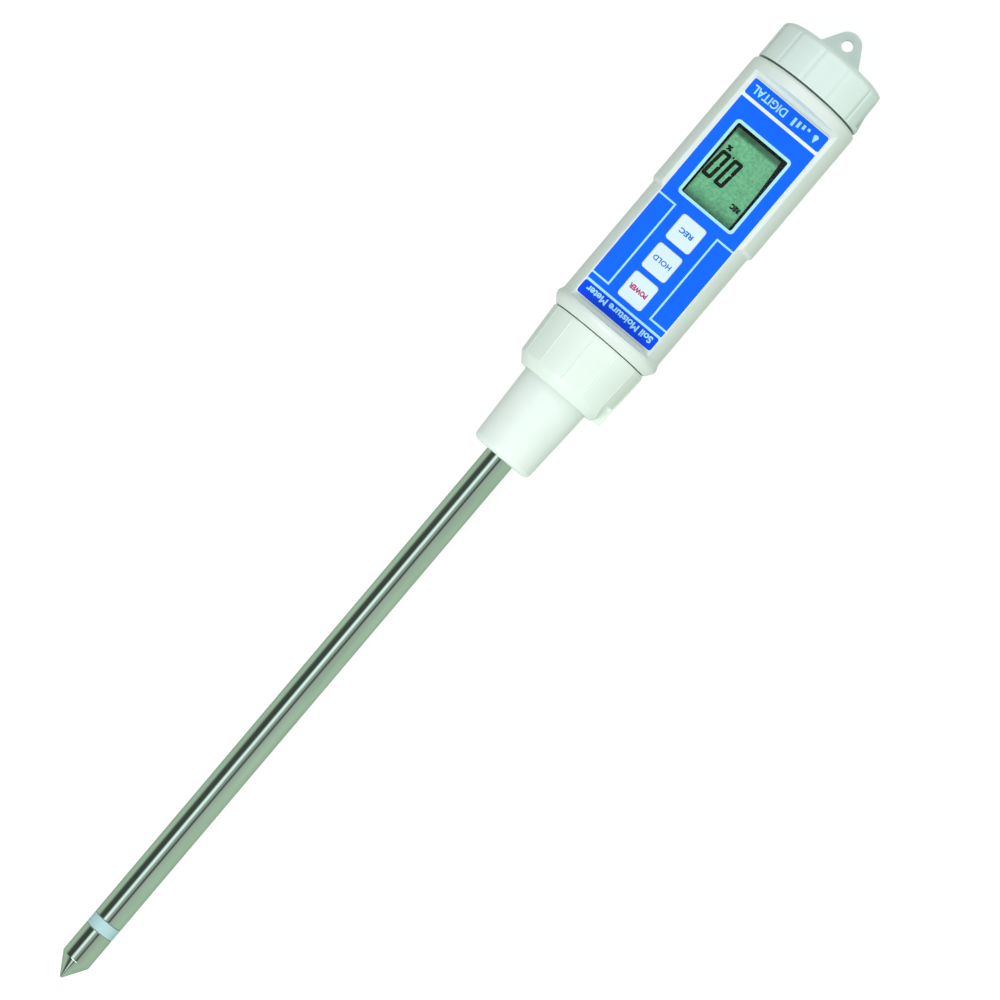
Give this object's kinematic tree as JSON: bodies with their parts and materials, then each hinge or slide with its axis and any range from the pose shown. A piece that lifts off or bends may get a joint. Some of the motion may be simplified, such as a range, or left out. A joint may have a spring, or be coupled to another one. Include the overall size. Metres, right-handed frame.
{
  "type": "soil moisture meter",
  "caption": "Pen-type digital soil moisture meter: round handle with display and keys, screw battery cap with lug, coupling nut and long steel probe.",
  "frame": {"origin": "middle of the overall length, under the long axis, on the surface that the flat back rests on", "axes": "+X along the long axis from the probe's tip to the battery cap, +Z out of the label, so the right side with the label's cap end up is -Y"},
  "size_m": [0.376, 0.0392, 0.0388],
  "materials": {
    "housing_plastic": "satin moulded",
    "nut_plastic": "satin moulded",
    "holder_plastic": "satin moulded",
    "label_film": "printed film",
    "window_clear": "clear",
    "display_glass": "glossy",
    "display_back": "satin",
    "key_plastic": "satin",
    "black_plastic": "satin",
    "contact_rubber": "matt",
    "seal_rubber": "matt",
    "washer_plastic": "satin",
    "board": "solder mask",
    "trimmer_plastic": "glossy",
    "screw_steel": "bright",
    "spring_steel": "bright",
    "probe_steel": "polished",
    "tip_steel": "turned",
    "ring_plastic": "matt",
    "red_wire": "satin",
    "black_wire": "satin",
    "battery_shell": "glossy"
  },
  "bodies": {
    "handle": {"housing": "housing_plastic", "probe_holder": "holder_plastic", "probe_tube": "probe_steel", "insulator_ring": "ring_plastic", "probe_tip": "tip_steel", "probe_o_ring": "seal_rubber", "tip_lead": "red_wire", "tube_lead": "black_wire", "positive_lead": "red_wire", "negative_lead": "black_wire", "label_overlay": "label_film", "display_window": "window_clear", "display_glass": "display_glass", "display_reflector": "display_back", "display_holder": "black_plastic", "lower_zebra_strip": "contact_rubber", "upper_zebra_strip": "contact_rubber", "main_board": "board", "microcontroller": "black_plastic", "amplifier_chip": "black_plastic", "quartz_crystal": "screw_steel", "calibration_trimmer": "trimmer_plastic", "battery_carrier": "black_plastic", "lower_contact_spring": "spring_steel", "upper_contact_spring": "spring_steel", "lower_contact_plate": "spring_steel", "power_switch": "black_plastic", "hold_switch": "black_plastic", "record_switch": "black_plastic", "board_screw_1": "screw_steel", "battery_1": "battery_shell", "board_screw_2": "screw_steel", "battery_2": "battery_shell", "board_screw_3": "screw_steel", "battery_3": "battery_shell", "board_screw_4": "screw_steel", "battery_4": "battery_shell"},
    "cap_gasket": {"cap_gasket": "seal_rubber"},
    "battery_cap": {"battery_cap": "nut_plastic"},
    "slip_washer": {"slip_washer": "washer_plastic"},
    "coupling_nut": {"coupling_nut": "nut_plastic"},
    "power_key": {"power_button": "key_plastic", "power_plunger": "black_plastic"},
    "hold_key": {"hold_button": "key_plastic", "hold_plunger": "black_plastic"},
    "record_key": {"record_button": "key_plastic", "record_plunger": "black_plastic"}
  },
  "joints": [
    {"name": "cap_lift", "type": "slide", "parent": "handle", "child": "cap_gasket", "axis": [1, 0, 0], "range_m": [0, 0.007]},
    {"name": "cap_turn", "type": "hinge", "parent": "cap_gasket", "child": "battery_cap", "pos_m": [0.171, 0, 0.0192], "axis": [1, 0, 0], "range_deg": [0, 720.1]},
    {"name": "nut_lift", "type": "slide", "parent": "handle", "child": "slip_washer", "axis": [-1, 0, 0], "range_m": [0, 0.007]},
    {"name": "nut_turn", "type": "hinge", "parent": "slip_washer", "child": "coupling_nut", "pos_m": [0.056, 0, 0.0192], "axis": [-1, 0, 0], "range_deg": [0, 720.1]},
    {"name": "power_press", "type": "slide", "parent": "handle", "child": "power_key", "axis": [0, 0, -1], "range_m": [0, 0.0005], "stiffness_N_per_m": 2000},
    {"name": "hold_press", "type": "slide", "parent": "handle", "child": "hold_key", "axis": [0, 0, -1], "range_m": [0, 0.0005], "stiffness_N_per_m": 2000},
    {"name": "record_press", "type": "slide", "parent": "handle", "child": "record_key", "axis": [0, 0, -1], "range_m": [0, 0.0005], "stiffness_N_per_m": 2000}
  ],
  "couplings": [
    {"joint": "cap_turn", "follows": "cap_lift", "rad_per_m": 1795.2},
    {"joint": "nut_turn", "follows": "nut_lift", "rad_per_m": 1795.2}
  ]
}
